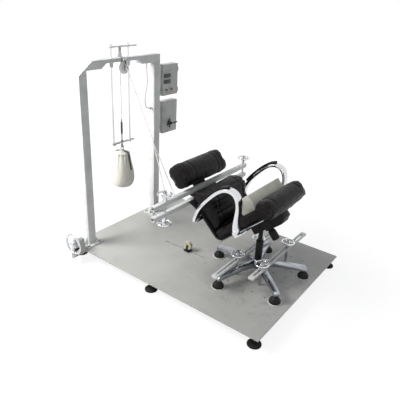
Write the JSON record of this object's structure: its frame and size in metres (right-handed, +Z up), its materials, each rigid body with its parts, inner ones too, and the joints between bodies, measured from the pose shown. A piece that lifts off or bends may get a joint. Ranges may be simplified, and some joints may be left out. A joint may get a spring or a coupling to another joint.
{
  "type": "chair testing machine",
  "caption": "Platform and gantry with a weight bag on a guided carriage whose rope pulls an office chair's clamped back; slotted bars clamp the chair's star base.",
  "frame": {"origin": "floor level, below the middle of the whole machine's outline", "axes": "+X from the gantry towards the chair, +Y from the corner handwheel's side towards the control boxes, +Z up"},
  "size_m": [1.64, 1.327, 1.529],
  "materials": {
    "white_paint": "gloss",
    "plate_paint": "satin",
    "frame_paint": "satin",
    "zinc_steel": "satin",
    "chrome": "polished",
    "polished_alloy": "polished",
    "black_rubber": "matte",
    "black_plastic": "matte",
    "black_leather": "satin",
    "bag_canvas": "matte",
    "rope_fibre": "matte",
    "hose_plastic": "satin",
    "display_plastic": "gloss",
    "button_green": "gloss",
    "button_red": "gloss",
    "dark_metal": "satin",
    "foam_board": "matte",
    "pale_nylon": "satin"
  },
  "bodies": {
    "frame": {"platform_plate": "plate_paint", "platform_frame": "frame_paint", "levelling_feet": "black_rubber", "frame_fasteners": "zinc_steel", "near_column": "white_paint", "far_column": "white_paint", "top_beam": "white_paint", "guide_bushes": "zinc_steel", "lifting_cylinder": "polished_alloy", "sheave_fork": "zinc_steel", "weight_rope": "rope_fibre", "pull_rope": "rope_fibre", "upper_box": "white_paint", "lower_box": "white_paint", "air_valve": "dark_metal", "box_brackets": "zinc_steel", "air_hose": "hose_plastic", "hose_fittings": "zinc_steel", "corner_bracket": "frame_paint", "base_clamp_bars": "white_paint", "clamp_studs": "zinc_steel", "star_base": "polished_alloy", "glides": "black_plastic", "glide_discs": "pale_nylon", "gas_lift": "black_plastic"},
    "carriage": {"guide_rods": "chrome", "top_bar": "zinc_steel", "bottom_bar": "zinc_steel", "cylinder_rod": "zinc_steel", "carriage_hooks": "dark_metal"},
    "bag": {"weight_bag": "bag_canvas"},
    "sheave": {"top_sheave": "zinc_steel"},
    "door": {"upper_door": "white_paint", "counter_displays": "display_plastic"},
    "start_button": {"start_button": "button_green"},
    "stop_button": {"stop_button": "button_red"},
    "valve_lever": {"valve_lever": "black_plastic"},
    "corner_handwheel": {"corner_handwheel": "chrome"},
    "crank_knob": {"crank_knob": "black_plastic"},
    "table_slider": {"slot_slider": "black_plastic"},
    "slider_pulley": {"slider_pulley": "pale_nylon"},
    "clamp_wheel_1": {"clamp_wheel_1": "chrome"},
    "clamp_wheel_2": {"clamp_wheel_2": "chrome"},
    "clamp_wheel_3": {"clamp_wheel_3": "chrome"},
    "clamp_wheel_4": {"clamp_wheel_4": "chrome"},
    "chair_top": {"tilt_mechanism": "black_plastic", "chair_shell": "black_plastic", "seat_cushion": "black_leather", "back_cushion": "black_leather", "headrest": "black_leather", "near_arm": "chrome", "far_arm": "chrome", "arm_pads": "black_leather", "load_block": "foam_board", "back_clamp_bars": "white_paint", "back_clamp_rods": "zinc_steel"},
    "tension_knob": {"tension_knob": "black_plastic"},
    "back_wheel_1": {"back_wheel_1": "chrome"},
    "back_wheel_2": {"back_wheel_2": "chrome"},
    "back_wheel_3": {"back_wheel_3": "chrome"}
  },
  "joints": [
    {"name": "chair_recline", "type": "hinge", "parent": "frame", "child": "chair_top", "pos_m": [0.463, 0.0465, 0.47], "axis": [0, 1, 0], "range_deg": [0, 12], "deforming": ["pull_rope"]},
    {"name": "carriage_lift", "type": "slide", "parent": "frame", "child": "carriage", "axis": [0, 0, 1], "range_m": [-0.04, 0], "deforming": ["weight_rope"]},
    {"name": "bag_swing", "type": "hinge", "parent": "carriage", "child": "bag", "pos_m": [-0.7245, -0.0865, 0.7823], "axis": [0, 1, 0], "range_deg": [-12, 12]},
    {"name": "sheave_spin", "type": "hinge", "parent": "frame", "child": "sheave", "pos_m": [-0.6905, -0.0865, 1.362], "axis": [0, 1, 0], "range_deg": [-68, 0]},
    {"name": "door_hinge", "type": "hinge", "parent": "frame", "child": "door", "pos_m": [-0.7002, 0.5305, 1.226], "axis": [0, 0, 1], "range_deg": [0, 110]},
    {"name": "start_press", "type": "slide", "parent": "door", "child": "start_button", "axis": [-1, 0, 0], "range_m": [0, 0.003], "stiffness_N_per_m": 300},
    {"name": "stop_press", "type": "slide", "parent": "door", "child": "stop_button", "axis": [-1, 0, 0], "range_m": [0, 0.003], "stiffness_N_per_m": 300},
    {"name": "valve_turn", "type": "hinge", "parent": "frame", "child": "valve_lever", "pos_m": [-0.668, 0.4235, 0.875], "axis": [1, 0, 0], "range_deg": [0, 90]},
    {"name": "corner_wheel_turn", "type": "hinge", "parent": "frame", "child": "corner_handwheel", "pos_m": [-0.7, -0.6215, 0.16], "axis": [0, 1, 0], "continuous": true},
    {"name": "crank_knob_turn", "type": "hinge", "parent": "corner_handwheel", "child": "crank_knob", "pos_m": [-0.626, -0.6465, 0.16], "axis": [0, 1, 0], "continuous": true},
    {"name": "slider_travel", "type": "slide", "parent": "frame", "child": "table_slider", "axis": [1, 0, 0], "range_m": [-0.2, 0.144]},
    {"name": "slider_pulley_turn", "type": "hinge", "parent": "table_slider", "child": "slider_pulley", "pos_m": [-0.09, -0.0365, 0.1333], "axis": [0, 1, 0], "continuous": true},
    {"name": "tension_turn", "type": "hinge", "parent": "chair_top", "child": "tension_knob", "pos_m": [0.52894, 0.0465, 0.4715], "axis": [-0.6691, 0, 0.7431], "continuous": true},
    {"name": "clamp_wheel_1_turn", "type": "hinge", "parent": "frame", "child": "clamp_wheel_1", "pos_m": [0.358, -0.0585, 0.24], "axis": [0, 0, 1], "continuous": true},
    {"name": "clamp_wheel_2_turn", "type": "hinge", "parent": "frame", "child": "clamp_wheel_2", "pos_m": [0.358, 0.2295, 0.24], "axis": [0, 0, 1], "continuous": true},
    {"name": "clamp_wheel_3_turn", "type": "hinge", "parent": "frame", "child": "clamp_wheel_3", "pos_m": [0.55, -0.0585, 0.24], "axis": [0, 0, 1], "continuous": true},
    {"name": "clamp_wheel_4_turn", "type": "hinge", "parent": "frame", "child": "clamp_wheel_4", "pos_m": [0.55, 0.3255, 0.24], "axis": [0, 0, 1], "continuous": true},
    {"name": "back_wheel_1_turn", "type": "hinge", "parent": "chair_top", "child": "back_wheel_1", "pos_m": [-0.0299, -0.3885, 0.68], "axis": [0, 0, 1], "continuous": true},
    {"name": "back_wheel_2_turn", "type": "hinge", "parent": "chair_top", "child": "back_wheel_2", "pos_m": [-0.0299, -0.3885, 0.5], "axis": [0, 0, 1], "continuous": true},
    {"name": "back_wheel_3_turn", "type": "hinge", "parent": "chair_top", "child": "back_wheel_3", "pos_m": [-0.0299, 0.5665, 0.68], "axis": [0, 0, 1], "continuous": true}
  ],
  "couplings": [
    {"joint": "carriage_lift", "follows": "chair_recline", "m_per_rad": -0.19},
    {"joint": "sheave_spin", "follows": "chair_recline", "ratio": -5.588}
  ]
}
